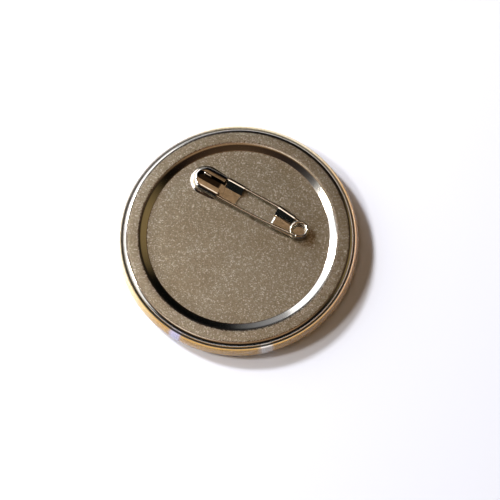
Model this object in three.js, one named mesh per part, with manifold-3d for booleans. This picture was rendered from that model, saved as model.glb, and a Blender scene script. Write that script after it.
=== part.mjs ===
// A round tin button badge with a safety pin on its back, lying on its printed front.
// Millimetres, +Z up. The origin is the lowest point of the front, on the badge's own axis.
// +X runs along the pin, from the clasp to the spring coil. +Y is the side of the badge
// that the pin is fixed on. +Z points out of the back.

import * as THREE from 'three';
import { mergeVertices } from 'three/addons/utils/BufferGeometryUtils.js';
import Module from 'manifold-3d';

const wasm = await Module();
wasm.setup();

// ---- Driving dimensions ----

// Badge body
const badge_radius = 29;
const rest_radius = 12;            // flat middle of the front, which the badge rests on
const crown_height = 0.7;          // how far the front's edge lies above its middle
const rim_radius = 1.3;            // rounding from the front into the side wall
const wall_lean = 26.5;            // degrees that the side wall has leaned inward at its top
const fold_center_height = 4.2;    // centre of the fold at the top of the side wall
const film_thickness = 0.1;
const print_thickness = 0.12;
const shell_thickness = 0.25;
const layer_gap = 0.03;            // play between the wrapped layers
const print_tuck = 3.4;            // the height that the paper's edge is tucked down to
const film_tuck = 3.25;

// Back plate
const sheet = 0.28;
const floor_height = 4.0;          // top of the recessed floor, which carries the pin
const ring_height = 5.0;           // top of the raised flat ring
const floor_radius = 21.85;
const ring_inner_radius = 23.5;
const plate_radius = 27.55;
const plate_edge_radius = 1.5;
const flange_bottom = 3.3;

// Safety pin
const wire_radius = 0.38;
const wire_play = 0.04;            // between the wire and the sleeve that holds it
const wire_height = 4.97;          // centre of the wire inside the clasp
const leg_y = 10.72;               // centreline of the fixed leg
const saddle_sheet = 0.3;
const weld_gap = 0.03;             // left free between one sheet and the next
const saddle_bottom = floor_height + weld_gap;
const saddle_top = saddle_bottom + saddle_sheet;
const coil_x = 12.08;
const coil_y = 8.1;
const coil_radius = 1.9;
const coil_turns = 1.5;
const coil_pitch = 0.82;
const coil_clearance = 0.05;
const coil_start_height = saddle_top + coil_clearance + wire_radius;

// Clasp
const clasp_sheet = 0.2;
const clasp_bottom = saddle_top + weld_gap;
const clasp_height = 1.6;
const clasp_center_x = -13.95;
const clasp_center_y = 8.19;
const clasp_half_width = 3.16;
const clasp_edge = 0.95;           // rounding along the cap's top
const clasp_mouth_x = -9.4;
const window_low_y = 7.25;         // the slot between the two lips
const window_high_y = 9.45;
const window_end_x = -15.2;

// Facets
const round_segments = 48;
const wire_sides = 8;

// ---- Small tools ----

const model = new THREE.Group();

function addPart(name, geometry, color, roughness, metalness) {
  const material = new THREE.MeshStandardMaterial({ color, roughness, metalness });
  const mesh = new THREE.Mesh(geometry, material);
  mesh.name = name;
  model.add(mesh);
  return mesh;
}

function toSolid(geometry) {
  const bare = geometry.clone();
  bare.deleteAttribute('normal');
  bare.deleteAttribute('uv');
  const merged = mergeVertices(bare);
  const vertProperties = new Float32Array(merged.attributes.position.array);
  const triVerts = new Uint32Array(merged.index.array);
  return new wasm.Manifold(new wasm.Mesh({ numProp: 3, vertProperties, triVerts }));
}

function toGeometry(solid) {
  const mesh = solid.getMesh();
  const geometry = new THREE.BufferGeometry();
  geometry.setAttribute('position', new THREE.BufferAttribute(mesh.vertProperties, 3));
  geometry.setIndex(new THREE.BufferAttribute(mesh.triVerts, 1));
  geometry.computeVertexNormals();
  return geometry;
}

// Points on an arc, from one angle to another in degrees, both ends included.
function arc(center_x, center_y, radius, from, to, steps) {
  const points = [];
  for (let i = 0; i <= steps; i += 1) {
    const angle = THREE.MathUtils.degToRad(from + (to - from) * i / steps);
    points.push([center_x + radius * Math.cos(angle), center_y + radius * Math.sin(angle)]);
  }
  return points;
}

// A closed ring or disc from a profile of [radius, height] pairs that runs counter-clockwise.
function turned(profile) {
  const points = profile.map(([radius, height]) => new THREE.Vector2(radius, height));
  points.push(points[0].clone());
  const geometry = new THREE.LatheGeometry(points, round_segments);
  geometry.rotateX(Math.PI / 2);
  return geometry;
}

function outlineShape(points) {
  return new THREE.Shape(points.map(([x, y]) => new THREE.Vector2(x, y)));
}

// A flat outline raised from one height to another.
function slab(points, bottom, top) {
  const geometry = new THREE.ExtrudeGeometry(outlineShape(points), {
    depth: top - bottom,
    bevelEnabled: false,
  });
  geometry.translate(0, 0, bottom);
  return geometry;
}

// ---- Wrapped front: tinplate shell, printed paper and clear film ----

const crown_run = badge_radius - rim_radius - rest_radius;
const crown_radius = (crown_run ** 2 + crown_height ** 2) / (2 * crown_height);
const crown_slope = THREE.MathUtils.radToDeg(Math.asin(crown_run / crown_radius));
const rim_center_height = crown_height + rim_radius * Math.cos(THREE.MathUtils.degToRad(crown_slope));
const wrap_thickness = film_thickness + print_thickness + 2 * layer_gap;
const fold_radius = wrap_thickness + shell_thickness / 2;
const lean = THREE.MathUtils.degToRad(wall_lean);
const wall_rise = fold_center_height + fold_radius * Math.sin(lean) - rim_center_height;
const wall_radius = wall_rise / Math.sin(lean);
const wall_center = badge_radius - wall_radius;
const fold_center_radius = wall_center + (wall_radius - fold_radius) * Math.cos(lean);

// The front, from the axis out to the top of the side wall, a given depth under the film's face.
function frontLine(depth) {
  const crown = arc(rest_radius, crown_radius, crown_radius - depth, -90, -90 + crown_slope, 2);
  const rim_center = badge_radius - rim_radius;
  const rim = arc(rim_center, rim_center_height, rim_radius - depth, -90 + crown_slope, 0, 4);
  const wall = arc(wall_center, rim_center_height, wall_radius - depth, 0, wall_lean, 2);
  return [[0, depth], ...crown, ...rim.slice(1), ...wall.slice(1)];
}

function foldArc(radius) {
  return arc(fold_center_radius, fold_center_height, radius, wall_lean, 180, 4);
}

// A skin that covers the front, folds over the shell's edge and is tucked in behind it.
function wrappedSkin(depth, thickness, tuck) {
  const outer = frontLine(depth);
  const inner = frontLine(depth + thickness);
  const outer_fold = foldArc(fold_radius - depth);
  const inner_fold = foldArc(fold_radius - depth - thickness);
  const outer_tuck = [fold_center_radius - fold_radius + depth, tuck];
  const inner_tuck = [outer_tuck[0] + thickness, tuck];
  return turned([
    ...outer,
    ...outer_fold.slice(1),
    outer_tuck,
    inner_tuck,
    ...inner_fold.slice(1).reverse(),
    ...inner.reverse(),
  ]);
}

const front_shell = turned([
  ...frontLine(wrap_thickness),
  ...frontLine(wrap_thickness + shell_thickness).reverse(),
]);
addPart('front_shell', front_shell, 0xb9b6ae, 0.35, 1);
addPart('clear_film', wrappedSkin(0, film_thickness, film_tuck), 0xf4f0e6, 0.1, 0);
const print_depth = film_thickness + layer_gap;
addPart('printed_disc', wrappedSkin(print_depth, print_thickness, print_tuck), 0xd8b060, 0.5, 0);

// ---- Back plate ----

function plateLine(depth) {
  const edge_center = plate_radius - plate_edge_radius;
  const edge_height = ring_height - plate_edge_radius;
  const edge = arc(edge_center, edge_height, plate_edge_radius - depth, 90, 0, 4);
  return [
    [0, floor_height - depth],
    [floor_radius + depth / 2, floor_height - depth],
    [ring_inner_radius + depth / 2, ring_height - depth],
    ...edge,
    [plate_radius - depth, flange_bottom],
  ];
}

const back_plate = turned([...plateLine(sheet), ...plateLine(0).reverse()]);
addPart('back_plate', back_plate, 0x7a6b57, 0.45, 1);

// ---- Saddle plates, each with an ear that curls over the fixed leg ----

const sleeve_sheet = 0.22;
const sleeve_inner = wire_radius + wire_play;
const sleeve_outer = sleeve_inner + sleeve_sheet;
const fillet = 0.75;               // hollow rounding from the plate up into the ear's web
const curl_end = -40;              // degrees past the leg's far side at which the curl ends

// The ear's section, across the leg, with the leg's centre at zero: a foot that lies on the
// plate, a rounded web, and a curl over the top and down the far side.
function earSection(leg_height) {
  const foot_top = saddle_top - leg_height;
  const foot_bottom = saddle_bottom - leg_height;
  const web_face = -sleeve_outer;
  const web_back = -sleeve_inner;
  const hollow = arc(web_face - fillet, foot_top + fillet, fillet, -90, 0, 3);
  const top = arc(0, 0, sleeve_outer, 180, curl_end, 8);
  const inside = arc(0, 0, sleeve_inner, curl_end, 180, 8);
  return [...hollow, ...top, ...inside, [web_back, foot_bottom], [web_face - fillet, foot_bottom]];
}

function ear(start_x, length, start_y, leg_height, turn) {
  const shape = outlineShape(earSection(leg_height));
  const geometry = new THREE.ExtrudeGeometry(shape, { depth: length, bevelEnabled: false });
  geometry.rotateX(Math.PI / 2);
  geometry.rotateZ(Math.PI / 2);
  geometry.rotateZ(turn);
  geometry.translate(start_x, start_y, leg_height);
  return geometry;
}

const web_y = 9.9;                 // the line along which the left plate turns up into its ear
const left_plate_end_x = -4.5;
const left_plate_low_y = 5.15;
const left_plate_radius = 3.75;    // round end, which shows beyond the clasp
const left_ear_x = -8.95;
const left_ear_length = 4.5;

const left_plate_outline = [
  [left_plate_end_x, left_plate_low_y],
  [left_plate_end_x, web_y],
  [-9.2, web_y],
  [-10.2, 11.7],
  ...arc(clasp_center_x, clasp_center_y, left_plate_radius, 85, 275, 12),
  [-10.4, 4.6],
  [-9.4, left_plate_low_y],
];
const left_ear = ear(left_ear_x, left_ear_length, leg_y, wire_height, 0);
const left_plate = slab(left_plate_outline, saddle_bottom, saddle_top);
const clasp_saddle = toSolid(left_plate).add(toSolid(left_ear));
addPart('clasp_saddle', toGeometry(clasp_saddle), 0xb0a898, 0.2, 1);

// The leg bends in towards the coil where it enters the second saddle.
const leg_bend_x = 4.4;
const leg_run = coil_x - leg_bend_x;
const leg_drop = leg_y - coil_y - coil_radius;
const leg_turn = -Math.atan2(leg_drop, leg_run);
const right_ear_x = 4.95;
const right_ear_length = 4.75;
const right_ear_y = leg_y + (right_ear_x - leg_bend_x) * Math.tan(leg_turn);
const right_plate_radius = 2.35;   // round end under the coil

const right_plate_outline = [
  [right_ear_x, 9.85],
  [5.15, 6.0],
  [5.9, 5.4],
  [10.8, 5.8],
  ...arc(coil_x, coil_y, right_plate_radius, -80, 80, 8),
  [9.6, 9.55],
];
const right_ear = ear(right_ear_x, right_ear_length, right_ear_y, wire_height, leg_turn);
const right_plate = slab(right_plate_outline, saddle_bottom, saddle_top);
const coil_saddle = toSolid(right_plate).add(toSolid(right_ear));
addPart('coil_saddle', toGeometry(coil_saddle), 0xb0a898, 0.2, 1);

// ---- Clasp: a folded cap, open at the mouth, with a window between its two lips ----

const clasp_top = clasp_bottom + clasp_height;

function claspOutline(half_width, mouth_x) {
  return [
    [mouth_x, clasp_center_y + half_width],
    ...arc(clasp_center_x, clasp_center_y, half_width, 90, 270, 14),
    [mouth_x, clasp_center_y - half_width],
  ];
}

const beyond = 2;                  // how far a cutting block reaches past the face it cuts

// A block with the cap's outline and a rounded top. Its bottom and its mouth are cut off later.
function domed(half_width, edge, top, mouth_x) {
  const geometry = new THREE.ExtrudeGeometry(
    outlineShape(claspOutline(half_width - edge, mouth_x)),
    { depth: clasp_height, bevelEnabled: true, bevelSize: edge, bevelThickness: edge, bevelSegments: 3 },
  );
  geometry.translate(0, 0, top - edge - clasp_height);
  return toSolid(geometry);
}

const outer_cap = domed(clasp_half_width, clasp_edge, clasp_top, clasp_mouth_x + beyond);
const inner_cap = domed(
  clasp_half_width - clasp_sheet,
  clasp_edge - clasp_sheet,
  clasp_top - clasp_sheet,
  clasp_mouth_x + beyond,
);
const wide_outline = claspOutline(clasp_half_width + beyond, clasp_mouth_x + 2 * beyond);
const below_clasp = toSolid(slab(wide_outline, clasp_bottom - 2 * beyond, clasp_bottom));
const below_cavity = toSolid(slab(wide_outline, clasp_bottom - 2 * beyond, clasp_bottom + clasp_sheet));
const past_mouth = toSolid(slab(
  [
    [clasp_mouth_x, clasp_center_y - clasp_half_width - beyond],
    [clasp_mouth_x + 2 * beyond, clasp_center_y - clasp_half_width - beyond],
    [clasp_mouth_x + 2 * beyond, clasp_center_y + clasp_half_width + beyond],
    [clasp_mouth_x, clasp_center_y + clasp_half_width + beyond],
  ],
  clasp_bottom - beyond,
  clasp_top + beyond,
));
const window_radius = (window_high_y - window_low_y) / 2;
const window_center_y = (window_high_y + window_low_y) / 2;
const clasp_window = slab(
  [
    [clasp_mouth_x + beyond, window_high_y],
    ...arc(window_end_x, window_center_y, window_radius, 90, 270, 6),
    [clasp_mouth_x + beyond, window_low_y],
  ],
  clasp_bottom + clasp_sheet,
  clasp_top + beyond,
);
const apron_low_y = 5.6;
const apron_high_y = 10;
const apron_back_x = -10;
const clasp_apron = slab(
  [[apron_back_x, apron_low_y], [-8.15, apron_low_y], [-9.1, apron_high_y], [apron_back_x, apron_high_y]],
  clasp_bottom,
  clasp_bottom + clasp_sheet,
);
const clasp = outer_cap
  .subtract(below_clasp)
  .subtract(inner_cap.subtract(below_cavity))
  .subtract(past_mouth)
  .subtract(toSolid(clasp_window))
  .add(toSolid(clasp_apron));
addPart('clasp_cap', toGeometry(clasp), 0xb8ac98, 0.15, 1);

// ---- Pin wire: hook, fixed leg and spring coil ----

const hook_radius = 0.68;
const hook_center_x = -14.4;
const hook_end_x = -12.95;
const hook_center_y = leg_y - hook_radius;
const hook_low_y = leg_y - 2 * hook_radius;
const wire_steps = 92;
const level_share = (right_ear_x + right_ear_length - leg_bend_x) / leg_run;

// The wire's route, one stretch after another: hook end, hook bend, leg, lead-in and coil.
// Each gives a point for a share of its own length. The lead-in stays level through the second
// ear, then goes down to the coil.
const wire_route = [
  {
    length: hook_end_x - hook_center_x,
    at: (share) => [hook_end_x + (hook_center_x - hook_end_x) * share, hook_low_y, wire_height],
  },
  {
    length: Math.PI * hook_radius,
    at: (share) => [
      hook_center_x - hook_radius * Math.sin(Math.PI * share),
      hook_center_y - hook_radius * Math.cos(Math.PI * share),
      wire_height,
    ],
  },
  {
    length: leg_bend_x - hook_center_x,
    at: (share) => [hook_center_x + (leg_bend_x - hook_center_x) * share, leg_y, wire_height],
  },
  {
    length: Math.hypot(leg_run, leg_drop),
    at: (share) => [
      leg_bend_x + leg_run * share,
      leg_y - leg_drop * share,
      wire_height + (coil_start_height - wire_height)
        * Math.max(0, (share - level_share) / (1 - level_share)),
    ],
  },
  {
    length: 2 * Math.PI * coil_radius * coil_turns,
    at: (share) => [
      coil_x + coil_radius * Math.sin(2 * Math.PI * coil_turns * share),
      coil_y + coil_radius * Math.cos(2 * Math.PI * coil_turns * share),
      coil_start_height + coil_pitch * coil_turns * share,
    ],
  },
];

class WireCurve extends THREE.Curve {
  getPoint(t, target = new THREE.Vector3()) {
    const total = wire_route.reduce((sum, stretch) => sum + stretch.length, 0);
    let left = t * total;
    let index = 0;
    while (index < wire_route.length - 1 && left > wire_route[index].length) {
      left -= wire_route[index].length;
      index += 1;
    }
    const share = Math.min(left / wire_route[index].length, 1);
    return target.set(...wire_route[index].at(share));
  }
}

const wire_section = outlineShape(arc(0, 0, wire_radius, 0, 360, wire_sides).slice(0, wire_sides));
const wire_curve = new WireCurve();
wire_curve.arcLengthDivisions = 1000;
const pin_wire = new THREE.ExtrudeGeometry(wire_section, {
  steps: wire_steps,
  bevelEnabled: false,
  extrudePath: wire_curve,
});
addPart('pin_wire', pin_wire, 0xc4beb2, 0.12, 1);

// ---- Needle: a springy arm that tapers to its point ----

const root_gap = 0.12;              // between the needle's round root and the coil's end
const root_x = coil_x - wire_radius - root_gap;
const root_y = coil_y - coil_radius;
const root_height = coil_start_height + coil_pitch * coil_turns;
const tip_x = -14.3;
const tip_y = 5.8;
const needle_bow = 0.22;
const needle_length = root_x - tip_x;
const taper_length = 5.5;
const tip_radius = 0.06;
const tip_length = 0.05;
const taper_steps = 3;
const needle_stations = 12;

// The needle is turned along its own length, from the point to a round root.
function needleProfile() {
  const profile = [[0, 0], [tip_radius, tip_length]];
  const root_end = needle_length + wire_radius;
  for (let i = 1; i <= taper_steps; i += 1) {
    const share = i / taper_steps;
    const radius = tip_radius + (wire_radius - tip_radius) * Math.sin(share * Math.PI / 2);
    profile.push([radius, taper_length * share]);
  }
  for (let i = 1; i <= needle_stations; i += 1) {
    profile.push([wire_radius, taper_length + (needle_length - taper_length) * i / needle_stations]);
  }
  const root = arc(0, needle_length, wire_radius, 0, 90, 3);
  return [...profile, ...root.slice(1, -1), [0, root_end]];
}

// It bows slightly outward between the coil and the clasp, and drops from the coil's top.
function bendNeedle(geometry) {
  const position = geometry.attributes.position;
  for (let i = 0; i < position.count; i += 1) {
    const along = position.getY(i);
    const share = Math.min(along / needle_length, 1);
    const bow = (root_y - tip_y) * share ** 3 - needle_bow * Math.sin(Math.PI * share);
    const rise = (root_height - wire_height) * share ** 1.6;
    position.setXYZ(
      i,
      tip_x + along,
      tip_y + bow - position.getX(i),
      wire_height + rise + position.getZ(i),
    );
  }
  geometry.computeVertexNormals();
}

const needle_points = needleProfile().map(([radius, along]) => new THREE.Vector2(radius, along));
const needle = new THREE.LatheGeometry(needle_points, wire_sides);
bendNeedle(needle);
addPart('needle', needle, 0xc4beb2, 0.12, 1);

export default model;
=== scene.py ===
"""A round tin button badge lying on its printed front, with a safety pin on its grained metal back."""

import math

import bmesh
import bpy
from mathutils import Matrix, Vector


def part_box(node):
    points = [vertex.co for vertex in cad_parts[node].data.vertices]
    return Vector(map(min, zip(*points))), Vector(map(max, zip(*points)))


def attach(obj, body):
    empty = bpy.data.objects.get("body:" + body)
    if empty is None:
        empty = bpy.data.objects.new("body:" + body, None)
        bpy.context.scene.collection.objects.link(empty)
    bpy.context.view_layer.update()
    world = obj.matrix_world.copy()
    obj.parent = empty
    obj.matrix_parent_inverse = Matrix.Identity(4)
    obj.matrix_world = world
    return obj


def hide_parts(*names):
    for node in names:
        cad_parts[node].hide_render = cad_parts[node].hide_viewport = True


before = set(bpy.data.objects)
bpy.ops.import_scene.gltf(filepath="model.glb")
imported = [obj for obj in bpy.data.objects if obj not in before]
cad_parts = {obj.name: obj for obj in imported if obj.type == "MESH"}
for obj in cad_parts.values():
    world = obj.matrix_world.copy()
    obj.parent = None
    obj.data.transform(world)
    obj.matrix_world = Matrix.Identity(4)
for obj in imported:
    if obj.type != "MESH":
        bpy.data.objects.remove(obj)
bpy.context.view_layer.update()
MM = 0.001

# ---- Sizes, in millimetres ----

badge_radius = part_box("clear_film")[1].x / MM
rest_radius = 12.0
crown_height = 0.7
rim_radius = 1.3
wall_lean = 26.5
fold_center_height = 3.95
film_thickness = 0.1
print_thickness = 0.12
shell_thickness = 0.25
layer_gap = 0.03
print_tuck = 3.4
film_tuck = 3.25

plate_sheet = 0.28
ring_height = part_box("back_plate")[1].z / MM
# The flange springs out this much to grip the skins tucked in beside it.
flange_spring = 0.03
plate_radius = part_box("back_plate")[1].x / MM + flange_spring
flange_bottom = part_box("back_plate")[0].z / MM
floor_height = 4.0
floor_radius = 21.85
ring_inner_radius = 23.5
plate_edge_radius = 1.28
foot_round = 0.25
lip_round = 1.9
# Rows of points on the flat ring, which keep it flat in the light.
ring_rows = (24.6, 25.4)

wire_radius = 0.38
wire_play = 0.04
wire_height = 4.97
leg_y = 10.72
saddle_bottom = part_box("clasp_saddle")[0].z / MM
saddle_sheet = 0.3
saddle_top = saddle_bottom + saddle_sheet
coil_x = 12.08
coil_y = 8.1
coil_radius = 1.9
coil_turns = 1.5
coil_pitch = 0.82
coil_clearance = 0.05
coil_start_height = saddle_top + coil_clearance + wire_radius
leg_bend_x = 4.4
hook_radius = 0.68
hook_center_x = -14.4
hook_end_x = -12.95
root_gap = 0.12
tip_x = -14.3
tip_y = 5.8
tip_radius = 0.03
taper_length = 5.5
needle_bow = 0.22

clasp_sheet = 0.2
clasp_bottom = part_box("clasp_cap")[0].z / MM
clasp_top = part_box("clasp_cap")[1].z / MM
clasp_center_x = -13.95
clasp_y = 8.19
clasp_half_width = 3.16
clasp_shoulder = 1.3
cavity_shoulder = 1.0
clasp_mouth_x = -9.4
window_low_y = 7.25
window_high_y = 9.45
window_end_x = -15.2

# ---- Mesh tools ----

# Points closer than this many millimetres are one, and an edge that turns by more degrees stays sharp.
weld_distance = 1e-5
sharp_angle = 50


def arc(center_x, center_y, radius, start, end, steps):
    """Points on an arc between two angles in degrees, both ends included."""
    angles = [math.radians(start + (end - start) * i / steps) for i in range(steps + 1)]
    return [(center_x + radius * math.cos(a), center_y + radius * math.sin(a)) for a in angles]


def piece_from(bm, name):
    """A Blender object in metres from a bmesh in millimetres."""
    bmesh.ops.remove_doubles(bm, verts=bm.verts, dist=weld_distance)
    bmesh.ops.recalc_face_normals(bm, faces=bm.faces)
    bmesh.ops.scale(bm, vec=(MM, MM, MM), verts=bm.verts)
    mesh = bpy.data.meshes.new(name)
    bm.to_mesh(mesh)
    bm.free()
    piece = bpy.data.objects.new(name, mesh)
    bpy.context.scene.collection.objects.link(piece)
    mesh.shade_smooth()
    return piece


def turned(name, profile, segments):
    """A ring or disc from (radius, height) points, turned about the badge's axis."""
    bm = bmesh.new()
    columns = []
    for i in range(segments):
        turn = 2 * math.pi * i / segments
        out_x = math.cos(turn)
        out_y = math.sin(turn)
        columns.append([bm.verts.new((radius * out_x, radius * out_y, z)) for radius, z in profile])
    count = len(profile)
    for i in range(segments):
        here = columns[i]
        there = columns[(i + 1) % segments]
        for j in range(count):
            k = (j + 1) % count
            if profile[j][0] > 0 or profile[k][0] > 0:
                bm.faces.new([here[j], there[j], there[k], here[k]])
    return piece_from(bm, name)


def stacked(name, levels):
    """A solid through a stack of (outline, height) levels, from the lowest to the highest."""
    bm = bmesh.new()
    rings = [[bm.verts.new((x, y, height)) for x, y in outline] for outline, height in levels]
    bm.faces.new(list(reversed(rings[0])))
    bm.faces.new(rings[-1])
    for low, high in zip(rings, rings[1:]):
        for i in range(len(low)):
            j = (i + 1) % len(low)
            bm.faces.new([low[i], low[j], high[j], high[i]])
    return piece_from(bm, name)


def swept(name, centers, radii, sides=24):
    """A round bar along a line of points, with a radius at each point and closed ends."""
    bm = bmesh.new()
    points = [Vector(p) for p in centers]
    side = Vector((0, 0, 1))
    rings = []
    for i, point in enumerate(points):
        ahead = points[min(i + 1, len(points) - 1)]
        behind = points[max(i - 1, 0)]
        along = (ahead - behind).normalized()
        side = (side - along * side.dot(along)).normalized()
        across = along.cross(side)
        ring = []
        for k in range(sides):
            turn = 2 * math.pi * k / sides
            ring.append(bm.verts.new(point + radii[i] * (math.cos(turn) * side + math.sin(turn) * across)))
        rings.append(ring)
    for here, there in zip(rings, rings[1:]):
        for k in range(sides):
            m = (k + 1) % sides
            bm.faces.new([here[k], here[m], there[m], there[k]])
    bm.faces.new(list(reversed(rings[0])))
    bm.faces.new(rings[-1])
    return piece_from(bm, name)


def apply_modifiers(piece):
    """Replaces the piece's mesh by what its modifiers make of it."""
    depsgraph = bpy.context.evaluated_depsgraph_get()
    made = bpy.data.meshes.new_from_object(piece.evaluated_get(depsgraph))
    piece.modifiers.clear()
    old = piece.data
    piece.data = made
    bpy.data.meshes.remove(old)
    return piece


def combine(piece, tool, operation):
    """Cuts or joins a piece with another, which is then removed."""
    change = piece.modifiers.new("combine", "BOOLEAN")
    change.object = tool
    change.operation = operation
    change.solver = "EXACT"
    apply_modifiers(piece)
    bpy.data.objects.remove(tool)
    return piece


def soften(piece, width, angle):
    """Rounds the edges that turn by more than an angle, as stamping and tumbling do."""
    bevel = piece.modifiers.new("soften", "BEVEL")
    bevel.width = width * MM
    bevel.segments = 2
    bevel.limit_method = "ANGLE"
    bevel.angle_limit = math.radians(angle)
    apply_modifiers(piece)
    piece.data.shade_smooth()
    piece.data.set_sharp_from_angle(angle=math.radians(sharp_angle))
    even = piece.modifiers.new("even", "WEIGHTED_NORMAL")
    even.keep_sharp = True
    return apply_modifiers(piece)


# ---- Materials ----

RAMP = "ShaderNodeValToRGB"
MIX = "ShaderNodeMix"
NOISE = "ShaderNodeTexNoise"
RANGE = "ShaderNodeMapRange"
VECTOR_MATH = "ShaderNodeVectorMath"
# What a mix node does with its two colours, and the sockets for them and for what comes out.
BLEND = {"data_type": "RGBA"}
MULTIPLY = {"data_type": "RGBA", "blend_type": "MULTIPLY", 0: 1.0}
ADD = {"data_type": "RGBA", "blend_type": "ADD", 0: 1.0}
FIRST = 6
SECOND = 7
MIXED = 2
# Ramps over the distance from the axis run from 0 to this many millimetres.
ramp_reach = 30.0


def linear(code):
    """An sRGB hex colour as linear RGBA."""
    channels = [int(code[i:i + 2], 16) / 255 for i in (1, 3, 5)]
    return tuple(c / 12.92 if c <= 0.04045 else ((c + 0.055) / 1.055) ** 2.4 for c in channels) + (1.0,)


def add_node(tree, kind, settings=None, links=None):
    """Adds a node, sets its properties or inputs, and links its inputs to given outputs.

    A ramp takes its colours as "stops", a list of (position, colour).
    """
    node = tree.nodes.new(kind)
    for key, value in (settings or {}).items():
        if key == "stops":
            elements = node.color_ramp.elements
            while len(elements) < len(value):
                elements.new(0.5)
            for element, (position, color) in zip(elements, value):
                element.position = position
                element.color = color
        elif isinstance(key, int) or key in node.inputs:
            node.inputs[key].default_value = value
        else:
            setattr(node, key, value)
    for key, output in (links or {}).items():
        tree.links.new(output, node.inputs[key])
    return node


def new_material(name, **settings):
    """A material with one Principled shader, its constant values set on the shader's own sockets."""
    material = bpy.data.materials.new(name)
    material.use_nodes = True
    shader = material.node_tree.nodes["Principled BSDF"]
    for key, value in settings.items():
        shader.inputs[key.replace("_", " ")].default_value = value
    return material, material.node_tree, shader


def position_in_mm(tree):
    """Coordinates of the surface in millimetres, so that a pattern's scale is its count per millimetre."""
    place = add_node(tree, "ShaderNodeTexCoord")
    scale = add_node(tree, VECTOR_MATH, {"operation": "SCALE", "Scale": 1 / MM},
                     {0: place.outputs["Object"]})
    return scale.outputs["Vector"]


def grey(value):
    """A neutral colour of a linear value."""
    return (value, value, value, 1.0)


def from_axis(tree, place, measure):
    """The distance from the badge's axis ("LENGTH") or the unit direction out from it ("NORMALIZE")."""
    flat = add_node(tree, VECTOR_MATH, {"operation": "MULTIPLY", 1: (1.0, 1.0, 0.0)}, {0: place})
    return add_node(tree, VECTOR_MATH, {"operation": measure}, {0: flat.outputs["Vector"]})


def by_distance(stops):
    """Stops given by their distance from the axis in millimetres, as shares of the ramp's reach."""
    return [(distance / ramp_reach, color) for distance, color in stops]


def grained_tinplate():
    """Tinplate rolled with a stone finish: a matt taupe metal whose fine pits and crystals sparkle.

    Where the press has bent it, on the step and at the edge, it is burnished nearly smooth.
    """
    # The grain is drawn somewhat coarser than the real one, so that it shows.
    crystals_per_mm = 4.6
    pits_per_mm = 6.0
    clouds_per_mm = 0.1
    crystal_lean = 0.045 * MM
    pit_depth = 0.035 * MM
    material, tree, shader = new_material("grained_tinplate", Metallic=1.0)
    place = position_in_mm(tree)
    distance = from_axis(tree, place, "LENGTH")
    share = add_node(tree, RANGE, {"From Max": ramp_reach}, {"Value": distance.outputs["Value"]})
    bent = add_node(tree, RAMP, {"stops": by_distance([
        (21.6, grey(0)), (21.9, grey(1)), (23.3, grey(1)), (24.1, grey(0)), (26.1, grey(0)), (26.6, grey(1)),
    ])}, {"Fac": share.outputs["Result"]}).outputs["Color"]

    crystals = add_node(tree, "ShaderNodeTexVoronoi", {"Scale": crystals_per_mm}, {"Vector": place})
    tone = add_node(tree, "ShaderNodeSeparateColor", links={"Color": crystals.outputs["Color"]})
    fine = add_node(tree, NOISE, {"Scale": pits_per_mm, "Detail": 3.0, "Roughness": 0.65}, {"Vector": place})
    cloud = add_node(tree, NOISE, {"Scale": clouds_per_mm, "Detail": 2.0}, {"Vector": place})

    # Each crystal has its own tone, darker in the pits, and the whole sheet is slightly clouded.
    grain = add_node(tree, RAMP, {"stops": [
        (0.0, linear("#958A76")), (0.5, linear("#A59A85")),
        (0.84, linear("#B8AD98")), (0.97, linear("#E6DFD2")),
    ]}, {"Fac": tone.outputs["Red"]})
    speck = add_node(tree, RAMP, {"stops": [(0.38, grey(0.8)), (0.6, grey(1.0))]},
                     {"Fac": fine.outputs["Fac"]})
    tint = add_node(tree, RAMP, {"stops": [(0.35, linear("#F2EEE8")), (0.65, linear("#FFFFFF"))]},
                    {"Fac": cloud.outputs["Fac"]})
    specked = add_node(tree, MIX, MULTIPLY,
                       {FIRST: grain.outputs["Color"], SECOND: speck.outputs["Color"]})
    clouded = add_node(tree, MIX, MULTIPLY,
                       {FIRST: specked.outputs[MIXED], SECOND: tint.outputs["Color"]})
    burnished = add_node(tree, RAMP, {"stops": [(0.3, linear("#B9B4AC")), (0.7, linear("#C4BFB8"))]},
                         {"Fac": cloud.outputs["Fac"]})
    color = add_node(tree, MIX, BLEND, {
        0: bent, FIRST: clouded.outputs[MIXED], SECOND: burnished.outputs["Color"],
    })
    tree.links.new(color.outputs[MIXED], shader.inputs["Base Color"])

    # Each crystal has its own shine too, and the burnished bends are smoother, though worn at the edge.
    shine = add_node(tree, RANGE, {"To Min": 0.28, "To Max": 0.4}, {"Value": tone.outputs["Green"]})
    polish = add_node(tree, RANGE, {"To Min": 0.1, "To Max": 0.18}, {"Value": fine.outputs["Fac"]})
    worn = add_node(tree, RAMP, {"stops": by_distance([(26.95, grey(0)), (27.3, grey(0.1))])},
                    {"Fac": share.outputs["Result"]})
    polished = add_node(tree, MIX, ADD, {FIRST: polish.outputs["Result"], SECOND: worn.outputs["Color"]})
    roughness = add_node(tree, MIX, BLEND, {
        0: bent, FIRST: shine.outputs["Result"], SECOND: polished.outputs[MIXED],
    })
    tree.links.new(roughness.outputs[MIXED], shader.inputs["Roughness"])

    # Each crystal leans its own way, and pits lie between them.
    depth = add_node(tree, RAMP, {"stops": [(0.0, grey(0.42)), (1.0, grey(0.03))]}, {"Fac": bent})
    lean_way = add_node(tree, "ShaderNodeBump", {"Distance": crystal_lean},
                        {"Height": tone.outputs["Blue"], "Strength": depth.outputs["Color"]})
    pits = add_node(tree, "ShaderNodeBump", {"Distance": pit_depth}, {
        "Height": fine.outputs["Fac"],
        "Strength": depth.outputs["Color"],
        "Normal": lean_way.outputs["Normal"],
    })
    tree.links.new(pits.outputs["Normal"], shader.inputs["Normal"])
    return material


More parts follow.
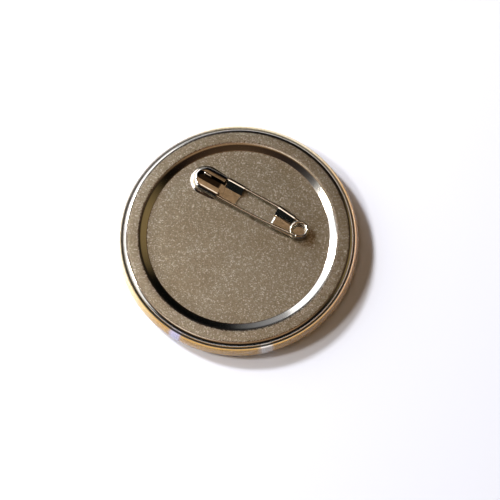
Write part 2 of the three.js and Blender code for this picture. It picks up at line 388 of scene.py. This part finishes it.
def bright_tinplate():
    """Plain tinplate inside the badge: a soft silvery sheet with faint rolling lines along one way."""
    lines_per_mm = (0.4, 14.0, 14.0)
    material, tree, shader = new_material("bright_tinplate", Metallic=1.0)
    place = position_in_mm(tree)
    stretch = add_node(tree, VECTOR_MATH, {"operation": "MULTIPLY", 1: lines_per_mm}, {0: place})
    lines = add_node(tree, NOISE, {"Scale": 1.0, "Detail": 4.0}, {"Vector": stretch.outputs["Vector"]})
    color = add_node(tree, RAMP, {"stops": [(0.3, linear("#B9B6AE")), (0.7, linear("#D9D7D0"))]},
                     {"Fac": lines.outputs["Fac"]})
    tree.links.new(color.outputs["Color"], shader.inputs["Base Color"])
    shine = add_node(tree, RANGE, {"To Min": 0.24, "To Max": 0.4}, {"Value": lines.outputs["Fac"]})
    tree.links.new(shine.outputs["Result"], shader.inputs["Roughness"])
    return material


def bright_nickel(name, low, high, roughness, dent, shaded_floor_height=None):
    """Barrel-polished nickel plate: near mirror, slightly warm, with faint tumbling waves and hairlines.

    Inside the clasp its floor, at the given height, is painted dark: painted shade where the cap's hollow
    keeps the light out.
    """
    waves_per_mm = 0.9
    hairlines_per_mm = 9.0
    wave_depth = 0.06 * MM
    shade_starts_x = -9.9
    shade_full_x = -10.3
    material, tree, shader = new_material(name, Metallic=1.0)
    place = position_in_mm(tree)
    waves = add_node(tree, NOISE, {"Scale": waves_per_mm, "Detail": 2.0}, {"Vector": place})
    fine = add_node(tree, NOISE, {"Scale": hairlines_per_mm, "Detail": 3.0}, {"Vector": place})
    color = add_node(tree, RAMP, {"stops": [(0.3, linear(low)), (0.7, linear(high))]},
                     {"Fac": waves.outputs["Fac"]}).outputs["Color"]
    # Painted shade: the clasp's inner floor is darkened toward the inside, standing for the shade in the
    # cap's hollow.
    if shaded_floor_height:
        parts = add_node(tree, "ShaderNodeSeparateXYZ", links={"Vector": place})
        low_down = add_node(tree, RANGE, {"From Min": shaded_floor_height + 0.25, "From Max": shaded_floor_height + 0.05},
                            {"Value": parts.outputs["Z"]})
        inward = add_node(tree, RANGE, {"From Min": shade_starts_x, "From Max": shade_full_x},
                          {"Value": parts.outputs["X"]})
        floor_shade = add_node(tree, "ShaderNodeMath", {"operation": "MULTIPLY"},
                        {0: low_down.outputs["Result"], 1: inward.outputs["Result"]})
        color = add_node(tree, MIX, BLEND | {SECOND: linear("#3A342E")},
                         {0: floor_shade.outputs["Value"], FIRST: color}).outputs[MIXED]
    tree.links.new(color, shader.inputs["Base Color"])
    shine = add_node(tree, RANGE, {"To Min": roughness * 0.7, "To Max": roughness * 1.5},
                     {"Value": fine.outputs["Fac"]})
    tree.links.new(shine.outputs["Result"], shader.inputs["Roughness"])
    wavy = add_node(tree, "ShaderNodeBump", {"Strength": dent, "Distance": wave_depth},
                    {"Height": waves.outputs["Fac"]})
    tree.links.new(wavy.outputs["Normal"], shader.inputs["Normal"])
    return material


def printed_paper():
    """Coated paper printed in golden yellow, with a ring of pale and lilac petals on the front.

    Its clear coat stands for the film's gloss, and fine pleats show where it is drawn round the rim.
    """
    petal_count = 12.0
    petal_reach = 3.5
    side_start = 25.0
    side_end = 27.5
    # The pleats lie about 0.24 mm apart at the rim.
    pleats_per_radian = 120.0
    pleat_depth = 0.05 * MM
    dots_per_mm = 6.0
    gold = linear("#CC9A38")
    pale = linear("#E4C47C")
    ochre = linear("#C08C38")
    rose = linear("#C08E5C")
    cream = linear("#F1E4C4")
    white = linear("#F3F0F2")
    lilac = linear("#C9C4EE")
    material, tree, shader = new_material("printed_paper", Roughness=0.45, Coat_Weight=0.6,
                                          Coat_Roughness=0.07)
    place = position_in_mm(tree)
    distance = from_axis(tree, place, "LENGTH").outputs["Value"]
    outward = from_axis(tree, place, "NORMALIZE").outputs["Vector"]
    parts = add_node(tree, "ShaderNodeSeparateXYZ", links={"Vector": place})
    angle = add_node(tree, "ShaderNodeMath", {"operation": "ARCTAN2"},
                     {0: parts.outputs["Y"], 1: parts.outputs["X"]})
    turn = add_node(tree, RANGE, {"From Min": -math.pi, "From Max": math.pi},
                    {"Value": angle.outputs["Value"]})

    # Going round the rim: gold, warmer and rosier on one side, with one white and one lilac petal end. The
    # pale gold, cream and white over the top and round the left are painted highlight, the glare of the
    # lights on that side.
    rim = add_node(tree, RAMP, {"stops": [
        (0.0, white), (0.12, cream), (0.19, pale), (0.225, gold), (0.238, gold), (0.243, lilac),
        (0.254, lilac), (0.258, gold), (0.362, gold), (0.366, white), (0.378, white), (0.382, gold),
        (0.45, ochre), (0.56, rose), (0.66, ochre), (0.74, cream), (0.86, cream), (0.92, white),
        (1.0, white),
    ]}, {"Fac": turn.outputs["Result"]})

    # On the front: rings whose edges wave in and out, as petals.
    petals = add_node(tree, "ShaderNodeMath", {"operation": "MULTIPLY", 1: petal_count},
                      {0: angle.outputs["Value"]})
    wave = add_node(tree, "ShaderNodeMath", {"operation": "SINE"}, {0: petals.outputs["Value"]})
    reach = add_node(tree, "ShaderNodeMath", {"operation": "MULTIPLY_ADD", 1: petal_reach},
                     {0: wave.outputs["Value"], 2: distance})
    share = add_node(tree, RANGE, {"From Max": ramp_reach}, {"Value": reach.outputs["Value"]})
    front = add_node(tree, RAMP, {"stops": [
        (0.0, cream), (0.3, cream), (0.31, lilac), (0.42, white), (0.43, ochre), (0.5, gold),
        (0.62, gold), (0.63, cream), (0.67, cream), (0.68, gold),
    ]}, {"Fac": share.outputs["Result"]})

    # The pleats fade the rim's colours a little, and a printer's screen lies over everything.
    side = add_node(tree, RANGE, {"From Min": side_start, "From Max": side_end},
                    {"Value": distance}).outputs["Result"]
    spread = add_node(tree, VECTOR_MATH, {"operation": "SCALE", "Scale": pleats_per_radian}, {0: outward})
    pleats = add_node(tree, NOISE, {"Scale": 1.0, "Detail": 2.0}, {"Vector": spread.outputs["Vector"]})
    faded = add_node(tree, RAMP, {"stops": [(0.35, linear("#EAE4DA")), (0.6, linear("#FFFFFF"))]},
                     {"Fac": pleats.outputs["Fac"]})
    dots = add_node(tree, NOISE, {"Scale": dots_per_mm, "Detail": 2.0}, {"Vector": place})
    screen = add_node(tree, RAMP, {"stops": [(0.35, grey(0.93)), (0.65, grey(1.0))]},
                      {"Fac": dots.outputs["Fac"]})
    rim_print_and_glare = add_node(tree, MIX, MULTIPLY, {FIRST: rim.outputs["Color"], SECOND: faded.outputs["Color"]})
    print_color = add_node(tree, MIX, BLEND,
                           {0: side, FIRST: front.outputs["Color"], SECOND: rim_print_and_glare.outputs[MIXED]})
    color = add_node(tree, MIX, MULTIPLY,
                     {FIRST: print_color.outputs[MIXED], SECOND: screen.outputs["Color"]})
    tree.links.new(color.outputs[MIXED], shader.inputs["Base Color"])
    folds = add_node(tree, "ShaderNodeBump", {"Distance": pleat_depth},
                     {"Height": pleats.outputs["Fac"], "Strength": side})
    tree.links.new(folds.outputs["Normal"], shader.inputs["Normal"])
    tree.links.new(folds.outputs["Normal"], shader.inputs["Coat Normal"])
    return material


def polyester_film():
    """Clear polyester film, as cast: colourless, and seen only by its gloss and a slight veil."""
    return new_material("polyester_film", Base_Color=linear("#FBF8F0"), Roughness=0.06, Alpha=0.05)[0]


# ---- Wrapped front ----

fine_segments = 288
coarse_segments = 96
crown_run = badge_radius - rim_radius - rest_radius
crown_radius = (crown_run ** 2 + crown_height ** 2) / (2 * crown_height)
crown_slope = math.degrees(math.asin(crown_run / crown_radius))
rim_center_height = crown_height + rim_radius * math.cos(math.radians(crown_slope))
wrap_thickness = film_thickness + print_thickness + 2 * layer_gap
fold_radius = wrap_thickness + shell_thickness / 2
lean = math.radians(wall_lean)
wall_radius = (fold_center_height + fold_radius * math.sin(lean) - rim_center_height) / math.sin(lean)
wall_center = badge_radius - wall_radius
fold_center_radius = wall_center + (wall_radius - fold_radius) * math.cos(lean)


def front_line(depth):
    """The front, from the axis to the top of the side wall, a given depth under the film's face."""
    flat = [(rest_radius * i / 4, depth) for i in range(4)]
    crown = arc(rest_radius, crown_radius, crown_radius - depth, -90, -90 + crown_slope, 12)
    rim = arc(badge_radius - rim_radius, rim_center_height, rim_radius - depth, -90 + crown_slope, 0, 12)
    wall = arc(wall_center, rim_center_height, wall_radius - depth, 0, wall_lean, 8)
    return flat + crown + rim[1:] + wall[1:]


def wrapped_skin(name, depth, thickness, tuck):
    """A skin over the front that folds round the shell's edge and is tucked in behind it."""
    outer_fold = arc(fold_center_radius, fold_center_height, fold_radius - depth, wall_lean, 180, 12)
    inner_radius = fold_radius - depth - thickness
    inner_fold = arc(fold_center_radius, fold_center_height, inner_radius, wall_lean, 180, 12)
    outer_tuck = (fold_center_radius - fold_radius + depth, tuck)
    inner_tuck = (outer_tuck[0] + thickness, tuck)
    profile = front_line(depth) + outer_fold[1:] + [outer_tuck, inner_tuck]
    profile += list(reversed(inner_fold[1:])) + list(reversed(front_line(depth + thickness)))
    return turned(name, profile, fine_segments)


def make_front():
    """The three layers of the front: clear film, printed paper and the tinplate shell inside them."""
    film = wrapped_skin("film", 0, film_thickness, film_tuck)
    paper = wrapped_skin("paper", film_thickness + layer_gap, print_thickness, print_tuck)
    shell_profile = front_line(wrap_thickness)
    shell_profile += list(reversed(front_line(wrap_thickness + shell_thickness)))
    shell = turned("shell", shell_profile, coarse_segments)
    return film, paper, shell


# ---- Back plate ----


def plate_line(depth):
    """The back plate's section from the axis to the bottom of its flange."""
    slope = math.degrees(math.atan2(ring_height - floor_height, ring_inner_radius - floor_radius))
    foot_reach = foot_round * math.tan(math.radians(slope / 2))
    lip_reach = lip_round * math.tan(math.radians(slope / 2))
    foot_center = (floor_radius - foot_reach, floor_height + foot_round)
    lip_center = (ring_inner_radius + lip_reach, ring_height - lip_round)
    foot = arc(*foot_center, foot_round + depth, -90, -90 + slope, 4)
    lip = arc(*lip_center, lip_round - depth, 90 + slope, 90, 6)
    edge_center = plate_radius - plate_edge_radius
    edge = arc(edge_center, ring_height - plate_edge_radius, plate_edge_radius - depth, 90, 0, 12)
    flat = [(floor_radius * i / 8, floor_height - depth) for i in range(8)]
    ring = [(radius, ring_height - depth) for radius in ring_rows]
    return flat + foot + lip + ring + edge + [(plate_radius - depth, flange_bottom)]


def make_back_plate():
    """The pressed back plate: a sunk floor, a slope, a raised ring and a flange rolled down at the edge."""
    return turned("back", plate_line(plate_sheet) + list(reversed(plate_line(0))), fine_segments)


# ---- Pin wire and needle ----

leg_run = coil_x - leg_bend_x
leg_drop = leg_y - coil_y - coil_radius
leg_turn = -math.atan2(leg_drop, leg_run)
right_ear_x = 4.95
right_ear_length = 4.75
level_share = (right_ear_x + right_ear_length - leg_bend_x) / leg_run


def wire_line():
    """The wire's centreline: hook end, hook bend, fixed leg, lead-in and coil."""
    end_steps = 6
    hook_steps = 12
    leg_steps = 30
    lead_in_steps = 16
    coil_steps = 96
    hook_y = leg_y - hook_radius
    points = []
    for i in range(end_steps):
        x = hook_end_x + (hook_center_x - hook_end_x) * i / end_steps
        points.append(Vector((x, hook_y - hook_radius, wire_height)))
    for i in range(hook_steps + 1):
        turn = math.pi * i / hook_steps
        x = hook_center_x - hook_radius * math.sin(turn)
        points.append(Vector((x, hook_y - hook_radius * math.cos(turn), wire_height)))
    for i in range(1, leg_steps + 1):
        x = hook_center_x + (leg_bend_x - hook_center_x) * i / leg_steps
        points.append(Vector((x, leg_y, wire_height)))
    for i in range(1, lead_in_steps):
        share = i / lead_in_steps
        drop = max(0, (share - level_share) / (1 - level_share))
        height = wire_height + (coil_start_height - wire_height) * drop
        points.append(Vector((leg_bend_x + leg_run * share, leg_y - leg_drop * share, height)))
    for i in range(coil_steps + 1):
        share = i / coil_steps
        turn = 2 * math.pi * coil_turns * share
        x = coil_x + coil_radius * math.sin(turn)
        height = coil_start_height + coil_pitch * coil_turns * share
        points.append(Vector((x, coil_y + coil_radius * math.cos(turn), height)))
    return points


def make_wire():
    """The fixed part of the pin wire, cut square at both ends."""
    line = wire_line()
    return swept("wire", line, [wire_radius] * len(line))


def make_needle():
    """The sprung arm, from its round root at the coil to its ground point."""
    stations = 90
    root_steps = 6
    # How late the arm leaves its line for the coil, sideways and in height.
    sideways_ease = 3
    height_ease = 1.6
    root_height = coil_start_height + coil_pitch * coil_turns
    root = Vector((coil_x - wire_radius - root_gap, coil_y - coil_radius, root_height))
    tip = Vector((tip_x, tip_y, wire_height))
    length = root.x - tip.x
    points = []
    radii = []
    for i in range(stations + 1):
        share = i / stations
        reach = share * length
        y = tip.y + (root.y - tip.y) * share ** sideways_ease - needle_bow * math.sin(math.pi * share)
        z = tip.z + (root.z - tip.z) * share ** height_ease
        points.append(Vector((tip.x + reach, y, z)))
        ground = math.sin(min(reach / taper_length, 1) * math.pi / 2)
        radii.append(tip_radius + (wire_radius - tip_radius) * ground)
    # The root's round end stops a little short of its pole, so that its last ring stays open.
    for i in range(1, root_steps + 1):
        turn = math.pi / 2 * i / (root_steps + 0.3)
        points.append(root + Vector((wire_radius * math.sin(turn), 0, 0)))
        radii.append(wire_radius * math.cos(turn))
    return swept("needle_arm_wire", points, radii)


# ---- Saddles ----

sleeve_sheet = 0.22
sleeve_inner = wire_radius + wire_play
sleeve_outer = sleeve_inner + sleeve_sheet
web_reach = 1.82
foot_inside = 0.5
foot_outside = 0.4
foot_sink = 0.02
curl_end = -40
# The curl is pressed flat between these two angles round the wire.
pressed_from = 114
pressed_to = 90
saddle_edge = 0.04
saddle_edge_angle = 24
cut_height = 0.03
web_y = 9.9
left_plate_radius = 3.75
left_slope = 0.55
left_end_slope_share = 0.3
left_ear_x = -8.95
left_ear_length = 4.5
right_plate_radius = 2.35
right_slope = 0.38
right_side_slope_share = 0.4


def make_ear(start_x, length, start_y, turn):
    """The ear: a foot on the plate, a slanting web, and a curl over the top of the leg."""
    foot_top = saddle_top - wire_height
    foot_bottom = saddle_bottom - wire_height
    to_center = math.hypot(web_reach, foot_top)
    slant = math.degrees(math.atan2(-foot_top, web_reach) + math.asin(sleeve_outer / to_center))
    foot_start = -web_reach - foot_outside
    foot_end = -web_reach + foot_inside
    section = [(foot_start, foot_top), (-web_reach, foot_top)]
    section += arc(0, 0, sleeve_outer, 90 + slant, pressed_from, 3)
    section += arc(0, 0, sleeve_outer, pressed_to, curl_end, 16)
    section += arc(0, 0, sleeve_inner, curl_end, 90 + slant, 20)
    section += [(foot_end, foot_top - foot_sink), (foot_end, foot_bottom), (foot_start, foot_bottom)]
    ear = stacked("ear", [(section, 0), (section, length)])
    upright = Matrix.Rotation(math.pi / 2, 4, "Z") @ Matrix.Rotation(math.pi / 2, 4, "X")
    place = Matrix.Translation(Vector((start_x, start_y, wire_height)) * MM)
    ear.data.transform(place @ Matrix.Rotation(turn, 4, "Z") @ upright)
    return ear


def left_outline(inset):
    """The plate under the clasp, whose round end is pressed to a slope all the way round."""
    end_inset = inset * left_end_slope_share
    low_y = 5.15 + end_inset
    end_x = -4.5 - end_inset
    outline = [(end_x, low_y), (end_x, web_y), (-9.2, web_y), (-10.2, 11.7 - inset)]
    outline += arc(clasp_center_x, clasp_y, left_plate_radius - inset, 85, 275, 48)
    return outline + [(-10.4, 4.6 + inset), (-9.4, low_y)]


def make_clasp_saddle():
    """The saddle under the clasp: a stamped plate with one ear curled over the fixed leg."""
    plate = stacked("saddle_at_clasp", [
        (left_outline(0), saddle_bottom),
        (left_outline(0), saddle_bottom + cut_height),
        (left_outline(left_slope), saddle_top),
    ])
    ear = make_ear(left_ear_x, left_ear_length, leg_y, 0)
    return soften(combine(plate, ear, "UNION"), saddle_edge, saddle_edge_angle)


def right_outline(inset):
    """The plate under the coil, from its straight end to the round one."""
    side_inset = inset * right_side_slope_share
    outline = [(5.02 + inset, 9.85), (5.15 + inset, 6.1 + side_inset)]
    outline += arc(5.95, 6.2, 0.75 - side_inset, 190, 262, 5)
    outline += [(10.8, 5.8 + side_inset)]
    outline += arc(coil_x, coil_y, right_plate_radius - side_inset, -75, 80, 26)
    return outline + [(9.6, 9.55)]


def make_coil_saddle():
    """The saddle under the coil: its ear follows the slant of the wire's lead-in."""
    plate = stacked("saddle_at_coil", [
        (right_outline(0), saddle_bottom),
        (right_outline(0), saddle_bottom + cut_height),
        (right_outline(right_slope), saddle_top),
    ])
    ear_y = leg_y + (right_ear_x - leg_bend_x) * math.tan(leg_turn)
    ear = make_ear(right_ear_x, right_ear_length, ear_y, leg_turn)
    return soften(combine(plate, ear, "UNION"), saddle_edge, saddle_edge_angle)


# ---- Clasp ----

clasp_edge = 0.05
clasp_edge_angle = 40
dome_steps = 8
# How far a cutting shape runs past what it cuts, and how high the window's cut stays above the floor.
cut_margin = 1
floor_lip = 0.3


def clasp_outline(half_width, mouth_x):
    """The clasp from above: a straight mouth on the right and a round end on the left."""
    outline = [(mouth_x, clasp_y + half_width)]
    outline += arc(clasp_center_x, clasp_y, half_width, 90, 270, 48)
    return outline + [(mouth_x, clasp_y - half_width)]


def domed(name, half_width, mouth_x, edge, bottom, top):
    """A block of the clasp's outline whose top rounds over into its sides."""
    levels = [(clasp_outline(half_width, mouth_x), bottom)]
    for i in range(dome_steps + 1):
        turn = math.pi / 2 * i / dome_steps
        inset = edge * (1 - math.cos(turn))
        levels.append((clasp_outline(half_width - inset, mouth_x), top - edge + edge * math.sin(turn)))
    return stacked(name, levels)


def make_clasp():
    """The folded cap: a domed shell, open at its mouth, with the window cut between its two lips."""
    body = domed("clasp", clasp_half_width, clasp_mouth_x, clasp_shoulder, clasp_bottom, clasp_top)
    cavity = domed("cavity", clasp_half_width - clasp_sheet, clasp_mouth_x + cut_margin, cavity_shoulder,
                   clasp_bottom + clasp_sheet, clasp_top - clasp_sheet)
    combine(body, cavity, "DIFFERENCE")
    radius = (window_high_y - window_low_y) / 2
    middle = (window_high_y + window_low_y) / 2
    window_outline = [(clasp_mouth_x + cut_margin, window_high_y)]
    window_outline += arc(window_end_x, middle, radius, 90, 270, 24)
    window_outline += [(clasp_mouth_x + cut_margin, window_low_y)]
    window_bottom = clasp_bottom + clasp_sheet + floor_lip
    window = stacked("window", [(window_outline, window_bottom), (window_outline, clasp_top + cut_margin)])
    combine(body, window, "DIFFERENCE")
    apron_outline = [(-10, 5.6), (-8.15, 5.6), (-9.1, 10), (-10, 10)]
    apron = stacked("apron", [(apron_outline, clasp_bottom), (apron_outline, clasp_bottom + clasp_sheet)])
    combine(body, apron, "UNION")
    return soften(body, clasp_edge, clasp_edge_angle)


# ---- Put the pieces together ----

film, paper, shell = make_front()
back = make_back_plate()
wire = make_wire()
needle = make_needle()
saddle_at_clasp = make_clasp_saddle()
saddle_at_coil = make_coil_saddle()
clasp = make_clasp()

nickel_wire = bright_nickel("nickel_wire", "#D2CABD", "#E2DCD2", 0.08, 0.1)
nickel_sheet = bright_nickel("nickel_sheet", "#CEC7BB", "#DED8CF", 0.1, 0.2)
clasp_nickel = bright_nickel("clasp_nickel", "#CEC7BB", "#DED8CF", 0.1, 0.2, clasp_bottom + clasp_sheet)

for piece, node, body, slot_name, material in (
    (film, "clear_film", "root", "clear_film", polyester_film()),
    (paper, "printed_disc", "root", "printed_paper", printed_paper()),
    (shell, "front_shell", "root", "shell_tinplate", bright_tinplate()),
    (back, "back_plate", "root", "back_tinplate", grained_tinplate()),
    (wire, "pin_wire", "root", "wire_nickel", nickel_wire),
    (needle, "needle", "needle_arm", "wire_nickel", nickel_wire),
    (saddle_at_clasp, "clasp_saddle", "root", "saddle_nickel", nickel_sheet),
    (saddle_at_coil, "coil_saddle", "root", "saddle_nickel", nickel_sheet),
    (clasp, "clasp_cap", "root", "clasp_nickel", clasp_nickel),
):
    piece.data.materials.clear()
    piece.data.materials.append(material)
    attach(piece, body)
    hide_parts(node)

# ---- Floor, light and camera ----

view_azimuth = 30.5
view_elevation = 71.46
lens = 85.0
sensor_width = 36.0
frame_width = 0.11867
floor_size = 3.0
floor_gap = 0.0002

turn_to_view = Matrix.Rotation(math.radians(view_azimuth), 3, "Z")


def from_view(right, up, height):
    """A point given by how far it lies to the right, away from the camera, and up, in metres."""
    return turn_to_view @ Vector((right, up, height))


def white_card():
    """Smooth white card: matt, and so pale that it burns out to white around the badge."""
    return new_material("white_card", Base_Color=linear("#F0F1FA"), Roughness=0.9)[0]


def make_floor():
    """The card that the badge lies on."""
    bm = bmesh.new()
    bmesh.ops.create_grid(bm, x_segments=8, y_segments=8, size=floor_size)
    mesh = bpy.data.meshes.new("floor")
    bm.to_mesh(mesh)
    bm.free()
    floor = bpy.data.objects.new("floor", mesh)
    bpy.context.scene.collection.objects.link(floor)
    floor.location.z = -floor_gap
    floor.data.materials.append(white_card())


def from_direction(azimuth, elevation, distance):
    """A point seen from the badge in a direction, its azimuth counted from the picture's right."""
    turn = math.radians(azimuth)
    rise = math.radians(elevation)
    flat = math.cos(rise) * distance
    return from_view(flat * math.cos(turn), flat * math.sin(turn), math.sin(rise) * distance)


def add_light(name, place, width, height, radiance, color):
    """A rectangular light aimed at the badge, as bright as the given radiance in every direction."""
    data = bpy.data.lights.new(name, "AREA")
    data.shape = "RECTANGLE"
    data.size = width
    data.size_y = height
    data.energy = radiance * math.pi * width * height
    data.color = linear(color)[:3]
    light = bpy.data.objects.new(name, data)
    bpy.context.scene.collection.objects.link(light)
    light.location = place
    light.rotation_mode = "QUATERNION"
    light.rotation_quaternion = (-place).to_track_quat("-Z", "Y")


def make_room():
    """A dim room: nearly black to the sides, and a lit brown ceiling that is brighter toward the left.

    A small pale patch lies overhead, a grey wall behind on the left, and an olive wall on the right.
    """
    room_strength = 2.3
    dim_way = (0.8, 0.6, 0.0)
    world = bpy.data.worlds.new("room")
    world.use_nodes = True
    tree = world.node_tree
    place = add_node(tree, "ShaderNodeTexCoord")
    turned_way = add_node(tree, "ShaderNodeVectorRotate",
                          {"rotation_type": "Z_AXIS", "Angle": -math.radians(view_azimuth)},
                          {"Vector": place.outputs["Generated"]}).outputs["Vector"]
    parts = add_node(tree, "ShaderNodeSeparateXYZ", links={"Vector": turned_way})
    ceiling = add_node(tree, RAMP, {"stops": [
        (0.0, linear("#1E201E")), (0.1, linear("#1C2020")), (0.6, linear("#141615")),
        (0.78, linear("#221613")), (0.9, linear("#8A6C4C")), (0.95, linear("#D6B48E")),
        (0.975, linear("#9A7450")), (1.0, linear("#7E5C40")),
    ]}, {"Fac": parts.outputs["Z"]})
    across = add_node(tree, VECTOR_MATH, {"operation": "DOT_PRODUCT", 1: dim_way}, {0: turned_way})
    dimmer = add_node(tree, RAMP, {"stops": [
        (0.0, grey(0.46)), (0.1, grey(0.46)), (0.19, grey(0.32)), (0.25, grey(0.17)), (0.36, grey(0.08)),
    ]}, {"Fac": across.outputs["Value"]})
    light = add_node(tree, MIX, MULTIPLY,
                     {FIRST: ceiling.outputs["Color"], SECOND: dimmer.outputs["Color"]})

    # The way to each bright surface, how nearly one must look that way to see its edge and its middle,
    # and its colour.
    pale_patch = ((-0.208, -0.035, 0.977), 0.99, 0.9955, "#E6E8E4")
    grey_wall = ((-0.5, 0.85, 0.15), 0.84, 0.98, "#86888C")
    olive_wall = (Vector((0.9, 0.2, 0.42)).normalized(), 0.86, 0.97, "#6A5B3C")
    for way, edge, middle, color in (pale_patch, grey_wall, olive_wall):
        toward = add_node(tree, VECTOR_MATH, {"operation": "DOT_PRODUCT", 1: way}, {0: turned_way})
        surface = add_node(tree, RAMP, {"stops": [(edge, grey(0)), (middle, linear(color))]},
                           {"Fac": toward.outputs["Value"]})
        light = add_node(tree, MIX, ADD, {FIRST: light.outputs[MIXED], SECOND: surface.outputs["Color"]})
    background = tree.nodes["Background"]
    tree.links.new(light.outputs[MIXED], background.inputs["Color"])
    background.inputs["Strength"].default_value = room_strength
    bpy.context.scene.world = world


def make_camera():
    """A camera with a moderate telephoto lens, looking down on the badge's back."""
    data = bpy.data.cameras.new("camera")
    data.sensor_width = sensor_width
    data.lens = lens
    camera = bpy.data.objects.new("camera", data)
    bpy.context.scene.collection.objects.link(camera)
    tilt = math.radians(view_elevation)
    back_way = from_view(0, -math.cos(tilt), math.sin(tilt))
    distance = frame_width * lens / sensor_width
    aim = from_view(0.00282, -0.00369, 0.004)
    camera.location = aim + back_way * distance
    camera.rotation_mode = "QUATERNION"
    camera.rotation_quaternion = (-back_way).to_track_quat("-Z", "Y")
    bpy.context.scene.camera = camera


make_floor()
make_room()
add_light("bright_wall", from_direction(159, 24, 1.0), 1.9, 0.62, 2.3, "#F8FBFF")
add_light("left_window", from_direction(175, 45, 0.9), 0.12, 0.12, 75.0, "#FFFEFA")
add_light("far_window", from_direction(143, 39, 0.9), 0.12, 0.12, 180.0, "#F6FAFF")
make_camera()
bpy.context.scene.view_settings.view_transform = "Standard"
